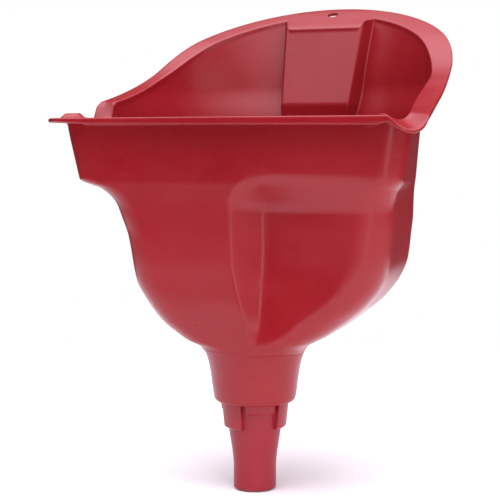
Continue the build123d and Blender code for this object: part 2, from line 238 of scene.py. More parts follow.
# Light: the sky is dim at the sides and brightest straight up, with a slight lean to the front
SKY_LEAN = (0.0, -0.12, 1.0)
SKY_EDGE = (0.55, 1.0)
SKY_DIM = 0.07
SKY_BRIGHT = 5.0
SKY_TINT = (0.99, 0.955, 1.05, 1.0)
SIDE_POWER = 2.4
SIDE_PLACE = (0.95, -0.15, 0.42)
SIDE_TARGET = (0.0, 0.02, 0.16)
SIDE_SIZE = (0.7, 0.7)
STRIP_POWER = 3.2
STRIP_AZIMUTH = 35.0
STRIP_DISTANCE = 1.1
STRIP_SIZE = (0.12, 1.0)
STRIP_HEIGHT = 0.42
STRIP_TARGET = (0.0, 0.02, 0.42)
FLOOR_Z = -0.0006
FLOOR_RADIUS = 0.6
FLOOR_PALE = (0.9, 0.9, 0.9, 1.0)

# Plastics: the deep and the bright pigment, and a pale colour used for scuff wear and as a painted
# highlight along the outer edges
RED_COLOURS = ((0.26, 0.005, 0.009, 1.0), (0.315, 0.009, 0.015, 1.0), (0.62, 0.14, 0.17, 1.0))
SPOUT_COLOURS = ((0.27, 0.008, 0.016, 1.0), (0.32, 0.012, 0.024, 1.0), (0.62, 0.15, 0.18, 1.0))
BLACK_COLOURS = ((0.012, 0.012, 0.013, 1.0), (0.02, 0.02, 0.021, 1.0), (0.12, 0.12, 0.12, 1.0))
STEEL_COLOURS = ((0.56, 0.56, 0.55, 1.0), (0.37, 0.36, 0.34, 1.0))


def smooth_step(value):
    """Eases from 0 to 1."""
    value = np.clip(value, 0.0, 1.0)
    return value * value * (3.0 - 2.0 * value)


def monotone(keys, name, z):
    """A smooth curve through the keys that never overshoots them."""
    x = np.array(keys["z"])
    y = np.array(keys[name])
    step = np.diff(x)
    slope = np.diff(y) / step
    tangent = np.zeros(len(x))
    tangent[0] = slope[0]
    tangent[-1] = slope[-1]
    for i in range(1, len(x) - 1):
        if slope[i - 1] * slope[i] > 0.0:
            a = 2.0 * step[i] + step[i - 1]
            b = step[i] + 2.0 * step[i - 1]
            tangent[i] = (a + b) / (a / slope[i - 1] + b / slope[i])
    z = np.clip(z, x[0], x[-1])
    i = np.clip(np.searchsorted(x, z) - 1, 0, len(step) - 1)
    t = (z - x[i]) / step[i]
    return (
        y[i] * (1 + 2 * t) * (1 - t) ** 2
        + y[i + 1] * t * t * (3 - 2 * t)
        + step[i] * (tangent[i] * t * (1 - t) ** 2 - tangent[i + 1] * t * t * (1 - t))
    )


def shelf_share(z):
    """How far a height is over the shelf: 0 in the basin, 1 in the body below."""
    t = np.clip((SHELF_TOP_Z - z) / (SHELF_TOP_Z - SHELF_FOOT_Z), 0.0, 1.0)
    quick = 1.0 - (1.0 - t) ** SHELF_CURVE
    ease = smooth_step(t * SHELF_EASE)
    return quick * ease + (1.0 - ease) * t * t


def recess_share(z):
    """How much of the recess's depth a height has: a sloped band, rounded at both edges."""
    t = (RECESS_TOP_Z - z) / (RECESS_TOP_Z - RECESS_FOOT_Z)
    blend = RECESS_ROUND / (RECESS_TOP_Z - RECESS_FOOT_Z)
    upper = float(soft_least(np.array(-t), np.array(0.0), blend))
    return 1.0 + float(soft_least(np.array(-upper - 1.0), np.array(0.0), blend))


def level_at(z):
    """The sizes of the bowl's outer section at one height."""
    share = float(shelf_share(z))
    level = {}
    for name in ("left", "right", "front", "back_centre", "back_radius", "corner"):
        basin = float(monotone(BASIN_KEYS, name, max(z, BASIN_FOOT_Z)))
        if z < BASIN_FOOT_Z:
            rise = BASIN_KEYS[name][1] - BASIN_KEYS[name][0]
            slope = rise / (BASIN_KEYS["z"][1] - BASIN_KEYS["z"][0])
            basin = BASIN_KEYS[name][0] + slope * (z - BASIN_FOOT_Z)
        body = float(monotone(BODY_KEYS, name, z))
        level[name] = basin * (1.0 - share) + body * share
    for name in ("ridge", "valley", "edge"):
        level[name] = float(monotone(BODY_KEYS, name, z))
    for name in ("depth", "setback"):
        level[name] = float(monotone(BODY_KEYS, name, z)) * recess_share(z)
    return level


def tangent_point(corner, centre, radius, side):
    """Where the straight side from a front corner meets the round back."""
    reach = corner - centre
    distance = np.hypot(*reach)
    angle = math.atan2(reach[1], reach[0]) + side * math.acos(min(1.0, radius / distance))
    return centre + radius * np.array([math.cos(angle), math.sin(angle)])


def rounded_corner(before, corner, after, radius, count, room):
    """Points along the arc that rounds a corner, on a short stretch where the corner is nearly flat."""
    first = (corner - before) / np.linalg.norm(corner - before)
    second = (after - corner) / np.linalg.norm(after - corner)
    turn = math.acos(np.clip(first @ second, -1.0, 1.0))
    reach = max(radius * math.tan(turn / 2.0), radius * 0.2)
    reach = min(reach, room[0] * np.linalg.norm(corner - before))
    reach = min(reach, room[1] * np.linalg.norm(after - corner))
    t = np.linspace(0.0, 1.0, count)[:, None]
    start = corner - first * reach
    end = corner + second * reach
    weight = math.cos(turn / 2.0)
    share = (1 - t) ** 2 + 2 * weight * t * (1 - t) + t ** 2
    return ((1 - t) ** 2 * start + 2 * weight * t * (1 - t) * corner + t ** 2 * end) / share


def straight(start, end, count):
    """Points between two ends, without the ends."""
    t = np.linspace(0.0, 1.0, count + 2)[1:-1, None]
    return start + (end - start) * t


def back_angles(right_angle, left_angle, radius):
    """Angles along the round back. Across the rear step they keep to fixed places, closer at its sides."""
    reach = min(1.0, STEP_REACH * radius / STEP_SPAN)
    ends = (STEP_SPAN, STEP_SIDE[0], STEP_SIDE[1], 0.0)
    half = np.concatenate([
        np.linspace(ends[i], ends[i + 1], STEP_COLUMNS[i], endpoint=False) for i in range(3)
    ])
    places = np.concatenate([half, [0.0], -half[::-1]]) * reach
    step = np.arccos(places / radius)
    right = np.linspace(right_angle, step[0], BACK_COLUMNS, endpoint=False)
    left = np.linspace(left_angle, step[-1], BACK_COLUMNS, endpoint=False)[::-1]
    return np.concatenate([right, step, left[:-1]])


def outline(level):
    """One section of the bowl, as columns of points that keep to the same feature at every height."""
    centre = np.array([level.get("back_x", 0.0), level["back_centre"]])
    radius = level["back_radius"]
    front = level["front"]
    depth = level.get("depth", 0.0)
    setback = level.get("setback", 0.0)
    edge = level.get("edge", 4.0)
    corners = [
        np.array([-level["left"], front]),
        np.array([level.get("ridge", -4.0), front]),
        np.array([level.get("valley", 18.0), front + depth]),
        np.array([level["right"], front + setback]),
    ]
    right_end = tangent_point(corners[3], centre, radius, 1.0)
    left_end = tangent_point(corners[0], centre, radius, -1.0)
    chain = [left_end] + corners + [right_end]
    radii = [level["corner"], edge, edge + 1.0, level["corner"]]
    arc_counts = [CORNER_COLUMNS, RIDGE_COLUMNS, RIDGE_COLUMNS, CORNER_COLUMNS]
    line_counts = [SIDE_COLUMNS, FRONT_COLUMNS, POCKET_SIDE_COLUMNS, FRONT_COLUMNS, SIDE_COLUMNS]
    points = [left_end[None, :]]
    here = left_end
    for i in range(4):
        ends = chain[i:i + 3]
        arc = rounded_corner(*ends, radii[i], arc_counts[i], CORNER_ROOM[i])
        points.append(straight(here, arc[0], line_counts[i]))
        points.append(arc)
        here = arc[-1]
    points.append(straight(here, right_end, line_counts[4]))
    right_angle = math.atan2(right_end[1] - centre[1], right_end[0] - centre[0])
    left_angle = math.atan2(left_end[1] - centre[1], left_end[0] - centre[0])
    left_angle = left_angle % (2.0 * math.pi)
    angles = back_angles(right_angle, left_angle, radius)
    points.append(centre + radius * np.stack([np.cos(angles), np.sin(angles)], 1))
    return np.concatenate(points)


def soft_least(first, second, blend):
    """The lesser of two values, with the change from one to the other rounded."""
    share = np.clip(0.5 + 0.5 * (second - first) / blend, 0.0, 1.0)
    return second * (1.0 - share) + first * share - blend * share * (1.0 - share)


def panel_face(x, z, grow):
    """Where the rear step's face and sides stand across it. Grow is the wall, for the inner side."""
    wall = REAR_WALL_Y + (z - FRONT_RIM_Z) * REAR_WALL_LEAN
    down = np.clip((z - PANEL_FADE_Z) / (PANEL_FULL_Z - PANEL_FADE_Z), 0.0, 1.0)
    depth = PANEL_FADE_DEPTH + (PANEL_DEPTH - PANEL_FADE_DEPTH) * down
    past = np.abs(x) - PANEL_FACE_HALF - (z - PANEL_FULL_Z) * PANEL_TAPER - grow
    rounded = (past + PANEL_EDGE_ROUND) ** 2 / (4.0 * PANEL_EDGE_ROUND)
    ramp = np.where(past > PANEL_EDGE_ROUND, past, rounded)
    ramp = np.where(past < -PANEL_EDGE_ROUND, 0.0, ramp)
    return wall - depth - grow + ramp * PANEL_DEPTH / PANEL_SIDE_RUN


def step_in(points, z, grow=0.0):
    """The section with the rear step taken in."""
    moved = points.copy()
    behind = points[:, 1] > STEP_FRONT_Y
    face = panel_face(points[behind, 0], z[behind], grow)
    moved[behind, 1] = soft_least(points[behind, 1], face, PANEL_BLEND)
    return moved


def rim_height(x, y):
    """The height of the flange's top over a place: side profile, left step, front ears and pour notch."""
    ramp = (y - RAMP_START_Y) * (HOOD_START[1] - FRONT_RIM_Z) / (HOOD_START[0] - RAMP_START_Y)
    ramp = FRONT_RIM_Z + ramp
    height = np.maximum(FRONT_RIM_Z, ramp)
    height = np.where(y > HOOD_START[0], hood_height(y), height)
    level_share = 1.0 - smooth_step((y - LEFT_STEP[0]) / (LEFT_STEP[1] - LEFT_STEP[0]))
    on_left = x < 0.0
    height = np.where(on_left, height + (FRONT_RIM_Z - height) * level_share, height)
    return notched(x, y, height + ear_height(x, y))


def ear_height(x, y):
    """The low ears, which stand on the inner half of the front rim."""
    inner = smooth_step((y + EAR_FRONT[0]) / EAR_FRONT[1])
    inner = inner * smooth_step((EAR_BACK[0] - y) / EAR_BACK[1])
    rise = np.zeros(np.shape(x))
    for place, lift in (LEFT_EAR, RIGHT_EAR):
        inside = EAR_HALF + EAR_END_RUN / 2.0 - np.abs(x - place)
        rise = rise + lift * smooth_step(inside / EAR_END_RUN)
    return rise * inner


def hood_height(y):
    """The hood's rim: a smooth rise that runs out into a straight incline."""
    ramp_slope = (HOOD_START[1] - FRONT_RIM_Z) / (HOOD_START[0] - RAMP_START_Y)
    middle_slope = (HOOD_STRAIGHT[1] - HOOD_START[1]) / (HOOD_STRAIGHT[0] - HOOD_START[0])
    lower = hermite(y, HOOD_START, ramp_slope, HOOD_MIDDLE, middle_slope)
    upper = hermite(y, HOOD_MIDDLE, middle_slope, HOOD_STRAIGHT, HOOD_SLOPE)
    incline = HOOD_STRAIGHT[1] + (y - HOOD_STRAIGHT[0]) * HOOD_SLOPE
    height = np.where(y < HOOD_STRAIGHT[0], upper, incline)
    return np.where(y < HOOD_MIDDLE[0], lower, height)


def hermite(y, start, start_slope, end, end_slope):
    """A cubic between two points with given slopes."""
    width = end[0] - start[0]
    t = (y - start[0]) / width
    return (
        start[1] * (1 + 2 * t) * (1 - t) ** 2
        + end[1] * t * t * (3 - 2 * t)
        + width * (start_slope * t * (1 - t) ** 2 - end_slope * t * t * (1 - t))
    )


def notched(x, y, height):
    """The height, cut down where the round-bottomed pour notch crosses it."""
    along = (math.cos(NOTCH_ANGLE), math.sin(NOTCH_ANGLE))
    dx = x - NOTCH_CENTRE[0]
    dy = y - NOTCH_CENTRE[1]
    beside = dx * along[1] - dy * along[0]
    ahead = dx * along[0] + dy * along[1]
    inside = np.clip(1.0 - (beside / NOTCH_RADIUS) ** 2, 0.0, 1.0)
    floor = NOTCH_WALL_Z - NOTCH_FALL * (ahead - NOTCH_WALL_REACH)
    trough = floor + NOTCH_RADIUS * (1.0 - np.sqrt(inside))
    cut = np.minimum(height, trough)
    share = smooth_step((ahead - NOTCH_FADE[0]) / NOTCH_FADE[1])
    return height * (1.0 - share) + cut * share


def wall_columns(z_of_column, level_cache):
    """Outer wall points where every column has its own height."""
    heights = np.unique(np.round(z_of_column, 2))
    points = np.zeros((len(z_of_column), 2))
    for height in heights:
        if height not in level_cache:
            level_cache[height] = outline(level_at(float(height)))
        chosen = np.round(z_of_column, 2) == height
        points[chosen] = level_cache[height][chosen]
    return points


def rim_over_wall(level_cache):
    """The height of the rim over each column of the wall, found by a few repeated steps."""
    z = np.full(len(outline(level_at(FRONT_RIM_Z))), FRONT_RIM_Z)
    for _ in range(6):
        points = step_in(wall_columns(z, level_cache), z)
        z = rim_height(points[:, 0], points[:, 1])
    return z


def ring_normals(grid):
    """Unit normals of a grid of rings, pointing out of the bowl."""
    along = np.roll(grid, -1, axis=1) - np.roll(grid, 1, axis=1)
    up = np.gradient(grid, axis=0)
    normal = np.cross(along, up)
    return normal / np.linalg.norm(normal, axis=2, keepdims=True)


def outer_wall():
    """Rings of the outer wall without the rear step, from the neck's lower end to just under the rim."""
    cache = {}
    top = rim_over_wall(cache) - FLANGE_THICKNESS - RIM_FILLET
    circle = outline(level_at(NECK_TOP_Z))
    direction = circle / np.linalg.norm(circle, axis=1, keepdims=True)
    rings = []
    neck = np.concatenate([np.linspace(NECK_ROUND_Z, 74.0, 14), np.linspace(75.0, NECK_TOP_Z, 9)])
    for z in neck:
        radius = float(monotone(NECK_KEYS, "radius", z))
        ring = direction * radius
        rings.append(np.column_stack([ring, np.full(len(ring), z)]))
    low = np.concatenate([
        np.linspace(81.6, 92.0, 14),
        np.linspace(93.0, 158.0, 46),
        np.linspace(159.0, 183.0, 42),
        np.linspace(184.2, RIM_BLEND_Z, 10),
    ])
    for z in low:
        ring = outline(level_at(z))
        heights = np.full(len(ring), z)
        rings.append(np.column_stack([ring, heights]))
    for share in np.linspace(0.0, 1.0, 46)[1:]:
        heights = RIM_BLEND_Z + (top - RIM_BLEND_Z) * share
        rings.append(np.column_stack([wall_columns(heights, cache), heights]))
    return np.array(rings)


def rim_rings(wall, inner, flange_outline, lip_height):
    """Rings over the rim: fillet, flange underside, lip, edge, flange top and inner edge."""
    reach = flange_outline - wall
    width = np.linalg.norm(reach, axis=1, keepdims=True)
    outward = reach / width
    inward = flange_outline - inner
    inward = inward / np.linalg.norm(inward, axis=1, keepdims=True)
    thick = FLANGE_THICKNESS
    turn = np.minimum(RIM_FILLET, width * 0.3)
    level = np.zeros(width.shape)
    steps = []
    for angle in np.linspace(0.0, math.pi / 2.0, 6)[1:]:
        ahead = turn * (1.0 - math.cos(angle))
        rise = -thick - RIM_FILLET * (1.0 - math.sin(angle))
        steps.append((wall + outward * ahead, rise + level))
    lip_inner = np.maximum(width - LIP_THICKNESS, turn + 0.2)
    for share in (0.25, 0.5, 0.75, 1.0):
        steps.append((wall + outward * (turn + (lip_inner - turn) * share), -thick + level))
    low = thick + lip_height
    steps.append((wall + outward * (lip_inner + 0.25), -thick - lip_height * 0.35))
    steps.append((wall + outward * (lip_inner + 0.45), -thick - lip_height * 0.7))
    for angle in np.linspace(-math.pi / 2.0, math.pi / 2.0, 11):
        side = math.sin(angle)
        part = min(1.0, abs(side) * 3.0)
        height = -low / 2.0 + np.sign(side) * (low / 2.0 - FLANGE_EDGE_ROUND) * part
        ahead = width - FLANGE_EDGE_ROUND + FLANGE_EDGE_ROUND * math.cos(angle)
        steps.append((wall + outward * ahead, height + FLANGE_EDGE_ROUND * side))
    edge = wall + outward * (width - FLANGE_EDGE_ROUND)
    rounding = inner + inward * RIM_INNER_ROUND
    for share in (0.8, 0.6, 0.4, 0.2, 0.0):
        steps.append((rounding + (edge - rounding) * share, level))
    for angle in np.linspace(math.pi / 2.0, math.pi, 6)[1:]:
        ahead = RIM_INNER_ROUND + RIM_INNER_ROUND * math.cos(angle)
        rise = -RIM_INNER_ROUND * (1.0 - math.sin(angle))
        steps.append((inner + inward * ahead, rise + level))
    rings = []
    for place, rise in steps:
        height = rim_height(place[:, 0], place[:, 1]) + rise[:, 0]
        rings.append(np.column_stack([place, height]))
    return np.array(rings)


def lip_height_over(flange_outline):
    """How far the flange's front edge turns down, fading out at both front corners."""
    x = flange_outline[:, 0]
    front = smooth_step((LIP_FADE_BACK[0] - flange_outline[:, 1]) / LIP_FADE_BACK[1])
    share = np.clip((x + LIP_HALF_SPAN) / (2.0 * LIP_HALF_SPAN), 0.0, 1.0)
    height = LIP_HEIGHT_LEFT + (LIP_HEIGHT_RIGHT - LIP_HEIGHT_LEFT) * share
    ends = smooth_step((x + LIP_FADE_LEFT[0]) / LIP_FADE_LEFT[1])
    ends = ends * smooth_step((LIP_FADE_RIGHT[0] - x) / LIP_FADE_RIGHT[1])
    return (height * front * ends)[:, None]


def throat_rings(direction):
    """Rings of the inside of the neck, from above the strainer's seat down and round to the outside."""
    profile = list(THROAT_PROFILE)
    for angle in np.linspace(0.0, math.pi / 2.0, 8)[1:]:
        radius = NECK_END_RADIUS + NECK_END_ROUND * math.sin(angle)
        profile.append((radius, NECK_END_Z + NECK_END_ROUND * (1 - math.cos(angle))))
    rings = []
    for radius, z in profile:
        rings.append(np.column_stack([direction * radius, np.full(len(direction), z)]))
    return np.array(rings)


def inner_wall(plain, lowest_z):
    """Rings of the inside, a wall's thickness in from the outer rings, listed from the rim down."""
    inner = plain - ring_normals(plain) * WALL
    kept = []
    for ring in inner[::-1]:
        if ring[:, 2].min() > lowest_z:
            stepped = step_in(ring[:, :2], ring[:, 2], WALL)
            kept.append(np.column_stack([stepped, ring[:, 2]]))
    return np.array(kept)


def mesh_from_rings(name, rings, closed_profile):
    """A quad mesh through a stack of rings. Each ring is closed; the profile may close on itself too."""
    count, columns = rings.shape[:2]
    vertices = rings.reshape(-1, 3) * MM
    faces = []
    last = count if closed_profile else count - 1
    for i in range(last):
        below = i * columns
        above = ((i + 1) % count) * columns
        for j in range(columns):
            k = (j + 1) % columns
            faces.append((below + j, below + k, above + k, above + j))
    mesh = bpy.data.meshes.new(name)
    mesh.from_pydata(vertices.tolist(), [], faces)
    mesh.validate()
    mesh.update()
    piece = bpy.data.objects.new(name, mesh)
    bpy.context.scene.collection.objects.link(piece)
    return piece


def smooth(piece, angle=35.0):
    """Smooth shading with real edges kept sharp."""
    piece.data.shade_smooth()
    piece.data.set_sharp_from_angle(angle=math.radians(angle))


def bowl():
    """The funnel's main moulding: hood, rim, basin, stepped body and neck as one skin."""
    plain = outer_wall()
    stepped = [np.column_stack([step_in(ring[:, :2], ring[:, 2]), ring[:, 2]]) for ring in plain]
    outer = np.array(stepped)
    inner = inner_wall(plain, INNER_FOOT_Z)
    flange_outline = outline(FLANGE)
    lip_height = lip_height_over(flange_outline)
    rim = rim_rings(outer[-1][:, :2], inner[0][:, :2], flange_outline, lip_height)
    circle = outline(level_at(NECK_TOP_Z))
    direction = circle / np.linalg.norm(circle, axis=1, keepdims=True)
    rings = np.concatenate([outer, rim, inner, throat_rings(direction)])
    piece = mesh_from_rings("bowl_skin", rings, True)
    drill_hang_hole(piece)
    smooth(piece)
    return piece


def drill_hang_hole(piece):
    """Cuts the round hang hole square through the hood's flange."""
    height = HOOD_STRAIGHT[1] + (HANG_HOLE_Y - HOOD_STRAIGHT[0]) * HOOD_SLOPE
    radius = HANG_HOLE_RADIUS * MM
    bpy.ops.mesh.primitive_cylinder_add(vertices=48, radius=radius, depth=HANG_HOLE_CUT * MM)
    cutter = bpy.context.object
    cutter.location = (0.0, HANG_HOLE_Y * MM, height * MM)
    cutter.rotation_euler = (math.atan(HOOD_SLOPE), 0.0, 0.0)
    apply_boolean(piece, cutter)


def apply_boolean(piece, cutter):
    """Subtracts the cutter from the piece for good."""
    modifier = piece.modifiers.new("cut", "BOOLEAN")
    modifier.operation = "DIFFERENCE"
    modifier.solver = "EXACT"
    modifier.object = cutter
    bpy.context.view_layer.objects.active = piece
    bpy.ops.object.modifier_apply(modifier=modifier.name)
    bpy.data.objects.remove(cutter)


def sleeve_radius(z):
    """The radius of the tapered bore that the spout's sleeve wedges in."""
    return NECK_FOOT[0] - WALL + (z - NECK_FOOT[1]) * NECK_SLOPE


def rib_share(degrees, z):
    """How far the surface stands out: 0 in the slots and 1 on a rib. Also the radius of the rib's face."""
    place = (degrees - RIB_FIRST_ANGLE + 180.0 / RIB_COUNT) / (360.0 / RIB_COUNT)
    index = np.floor(place).astype(int) % 2
    offset = (place - np.floor(place) - 0.5) * 360.0 / RIB_COUNT
    end = np.where(index == 0, RIB_ENDS[0], RIB_ENDS[1])
    beside = smooth_step((RIB_HALF_ANGLE + RIB_SIDE_RUN / 2.0 - np.abs(offset)) / RIB_SIDE_RUN)
    above = smooth_step((z - end) / RIB_END_RUN)
    face = RIB_TOP_RADIUS - (NECK_END_Z - z) * RIB_TAPER
    face = face - np.clip(end + RIB_CHAMFER - z, 0.0, RIB_CHAMFER)
    return beside * above, face


def spout_columns():
    """Angles round the spout, closer together at the sides of the slots."""
    half = 180.0 / RIB_COUNT
    near = [-half, -28.4, -26.8, -26.2, -25.9, -25.5, -25.1, -24.7, -24.0]
    middle = list(np.linspace(-22.0, 22.0, 12))
    offsets = np.array(near + middle + [-value for value in near[:0:-1]])
    centres = RIB_FIRST_ANGLE + np.arange(RIB_COUNT) * 2.0 * half
    return (centres[:, None] + offsets[None, :]).ravel()


def spout_heights():
    """Heights of the rings up the outside of the spout, closer together at the ends of the ribs."""
    steps = [1.4, 3.0, 6.0, 9.0, 11.5, 12.6, 13.0, 13.4, 14.5, 18.0, 22.0, 26.0, 30.0, 33.0, 35.0, 35.8]
    for end in sorted(RIB_ENDS):
        steps += [end + shift for shift in (0.0, 0.06, 0.13, 0.19, 0.25, 0.5, 0.9, 1.2, 1.5)]
    steps += [39.0, 41.0, 43.0, 44.6, 45.3, 48.0, 49.5, 50.6]
    return np.array(sorted(steps))


def spout():
    """The ribbed tip: its outside first, then the sleeve and the bore."""
    degrees = spout_columns()
    direction = np.column_stack([np.cos(np.radians(degrees)), np.sin(np.radians(degrees))])
    level = np.ones(len(degrees))
    rings = []
    for angle in np.linspace(0.0, math.pi / 2.0, 6):
        radius = CORE_KEYS["radius"][0] - TIP_ROUND * (1.0 - math.sin(angle))
        rings.append((radius * level, TIP_ROUND * (1.0 - math.cos(angle)) * level))
    for z in spout_heights():
        core = float(monotone(CORE_KEYS, "radius", z))
        share, face = rib_share(degrees, z)
        rings.append((core + (face - core) * share, z * level))
    high = NECK_END_Z - 0.1
    share, face = rib_share(degrees, NECK_END_Z)
    core = CORE_KEYS["radius"][-1]
    rings.append((core + (face - core) * share, high * level))
    for radius, z in sleeve_profile() + SPOUT_BORE:
        rings.append((radius * level, z * level))
    grid = np.array([np.column_stack([direction * radius[:, None], z]) for radius, z in rings])
    piece = mesh_from_rings("spout_tip", grid, True)
    smooth(piece, 32.0)
    return piece


def sleeve_profile():
    """Radius and height up the outside of the sleeve, over its top and down its bore."""
    foot = SPOUT_HOLE_RADIUS - SLEEVE_GAP
    profile = [(foot, NECK_END_Z), (foot, LIP_TOP_Z + SLEEVE_GAP)]
    for z in np.linspace(LIP_TOP_Z + SLEEVE_GAP, SLEEVE_TOP_Z - 0.5, 6):
        profile.append((sleeve_radius(z) - SLEEVE_GAP, z))
    top = sleeve_radius(SLEEVE_TOP_Z)
    profile += [(top - 0.2, SLEEVE_TOP_Z - 0.1), (top - 0.6, SLEEVE_TOP_Z), (top - 1.3, SLEEVE_TOP_Z)]
    profile += [(top - 1.7, SLEEVE_TOP_Z - 0.15), (top - SLEEVE_WALL, SLEEVE_TOP_Z - 0.6)]
    for z in (60.0, 56.0):
        profile.append((sleeve_radius(z) - SLEEVE_WALL, z))
    return profile


def lathe(name, profile, count):
    """A closed profile of radius and height, turned round the axis."""
    angles = np.linspace(0.0, 2.0 * math.pi, count, endpoint=False)
    direction = np.column_stack([np.cos(angles), np.sin(angles)])
    rings = [np.column_stack([direction * radius, np.full(count, z)]) for radius, z in profile]
    return mesh_from_rings(name, np.array(rings), True)


def rounded_profile(corners, radius):
    """A closed outline with every corner cut to a small round."""
    points = []
    count = len(corners)
    for i in range(count):
        before, corner, after = (np.array(corners[(i + k) % count]) for k in (-1, 0, 1))
        points.extend(rounded_corner(before, corner, after, radius, 4, (0.4, 0.4)))
    return points


def prism(name, outline_points, low, high, hole=None):
    """A flat plate between two heights, with rounded edges. The hole is a second outline."""
    loops = [np.array(outline_points)]
    if hole is not None:
        loops.append(np.array(hole))
    edit = bmesh.new()
    rims = []
    for loop in loops:
        verts = [edit.verts.new((x * MM, y * MM, low * MM)) for x, y in loop]
        count = len(verts)
        rims += [edit.edges.new((verts[i], verts[(i + 1) % count])) for i in range(count)]
    made = bmesh.ops.triangle_fill(edit, edges=rims, use_beauty=True)
    faces = [item for item in made["geom"] if isinstance(item, bmesh.types.BMFace)]
    risen = bmesh.ops.extrude_face_region(edit, geom=faces)
    verts = [item for item in risen["geom"] if isinstance(item, bmesh.types.BMVert)]
    bmesh.ops.translate(edit, verts=verts, vec=(0.0, 0.0, (high - low) * MM))
    bmesh.ops.recalc_face_normals(edit, faces=edit.faces)
    mesh = bpy.data.meshes.new(name)
    edit.to_mesh(mesh)
    edit.free()
    piece = bpy.data.objects.new(name, mesh)
    bpy.context.scene.collection.objects.link(piece)
    bevel = piece.modifiers.new("round", "BEVEL")
    bevel.width = PLATE_EDGE_ROUND * MM
    bevel.segments = 3
    bevel.limit_method = "ANGLE"
    bevel.angle_limit = math.radians(50.0)
    bpy.context.view_layer.objects.active = piece
    bpy.ops.object.modifier_apply(modifier=bevel.name)
    return piece


def rounded_rectangle(width, height, radius, middle):
    """The outline of a rectangle with rounded corners."""
    half_w = width / 2.0
    half_h = height / 2.0
    points = []
    for k, (sx, sy) in enumerate(((1, 1), (-1, 1), (-1, -1), (1, -1))):
        for angle in np.linspace(k * math.pi / 2.0, (k + 1) * math.pi / 2.0, 8):
            x = sx * (half_w - radius) + radius * math.cos(angle)
            y = sy * (half_h - radius) + radius * math.sin(angle)
            points.append((x + middle[0], y + middle[1]))
    return points


def strainer_ring():
    """The drop-in ring with its cross bars and finger tab."""
    low = SEAT_Z + SEAT_GAP
    step = low + POCKET_HEIGHT
    top = low + RING_HEIGHT
    corners = [
        (POCKET_RADIUS, low), (RING_OUTER, low), (RING_OUTER, top),
        (RING_INNER, top), (RING_INNER, step), (POCKET_RADIUS, step),
    ]
    ring = lathe("strainer_ring", rounded_profile(corners, RING_ROUND), 96)
    parts = [ring]
    reach = RING_OUTER - 1.0
    for angle in BAR_ANGLES:
        plate = rounded_rectangle(2.0 * reach, BAR_SIZE, PLATE_EDGE_ROUND, (0.0, 0.0))
        bar = prism("bar", plate, step, step + BAR_SIZE)
        bar.rotation_euler = (0.0, 0.0, math.radians(angle))
        parts.append(bar)
    width, height, thick = TAB_SIZE
    hole_y = height - width / 2.0
    turn = np.linspace(0.0, 2.0 * math.pi, 32, endpoint=False)
    radius = TAB_HOLE_RADIUS
    hole = [(radius * math.cos(a), hole_y + radius * math.sin(a)) for a in turn]
    plate = rounded_rectangle(width, height, TAB_CORNER, (0.0, height / 2.0))
    tab = prism("tab", plate, -thick / 2.0, thick / 2.0, hole)
    tab.rotation_euler = (math.pi / 2.0, 0.0, 0.0)
    tab.location = (0.0, 0.0, step * MM)
    parts.append(tab)
    join(ring, parts)
    smooth(ring, 40.0)
    return ring


def join(piece, parts):
    """Joins the parts into the piece, with their places in its mesh."""
    bpy.ops.object.select_all(action="DESELECT")
    for part in parts:
        part.select_set(True)
    bpy.context.view_layer.objects.active = piece
    bpy.ops.object.join()


def woven_screen():
    """The woven wire screen: crossing wires that pass over and under each other, with a rolled edge."""
    middle = SEAT_Z + SEAT_GAP + POCKET_HEIGHT / 2.0
    count = int(SCREEN_RADIUS / WIRE_PITCH)
    vertices = []
    faces = []
    for across in (0, 1):
        for i in range(-count, count + 1):
            offset = (i + 0.5) * WIRE_PITCH
            if abs(offset) < SCREEN_RADIUS - 0.5:
                add_wire(vertices, faces, offset, (-1.0) ** (i + across), across, middle)
    mesh = bpy.data.meshes.new("strainer_screen")
    mesh.from_pydata(vertices, [], faces)
    piece = bpy.data.objects.new("strainer_screen", mesh)
    bpy.context.scene.collection.objects.link(piece)
    turn = np.linspace(0.0, 2.0 * math.pi, 10, endpoint=False)
    radius = SCREEN_EDGE_RADIUS
    edge = [(SCREEN_RADIUS + radius * math.cos(a), middle + radius * math.sin(a)) for a in turn]
    join(piece, [piece, lathe("edge", edge, 96)])
    smooth(piece, 60.0)
    return piece


def add_wire(vertices, faces, offset, sign, across, middle):
    """One wire as a wavy tube from edge to edge of the screen."""
    reach = math.sqrt(SCREEN_RADIUS ** 2 - offset ** 2)
    count = max(3, int(2.0 * reach / WIRE_PITCH * 4.0))
    first = len(vertices)
    sides = WIRE_SIDES
    for i in range(count + 1):
        along = -reach + 2.0 * reach * i / count
        wave = sign * WIRE_WAVE * math.sin(math.pi * along / WIRE_PITCH)
        for k in range(sides):
            angle = 2.0 * math.pi * k / sides
            beside = offset + WIRE_RADIUS * math.cos(angle)
            place = (along, beside) if across == 0 else (beside, along)
            height = middle + wave + WIRE_RADIUS * math.sin(angle)
            vertices.append((place[0] * MM, place[1] * MM, height * MM))
    for i in range(count):
        for k in range(sides):
            a = first + i * sides + k
            b = first + i * sides + (k + 1) % sides
            face = (a, b, b + sides, a + sides)
            faces.append(face if across == 0 else face[::-1])
    start = tuple(range(first, first + sides))
    end = tuple(range(first + count * sides, first + (count + 1) * sides))
    faces.append(start[::-1] if across == 0 else start)
    faces.append(end if across == 0 else end[::-1])


def node(tree, kind, **settings):
    """Adds a node and sets the named properties."""
    made = tree.nodes.new(kind)
    for name, value in settings.items():
        setattr(made, name, value)
    return made


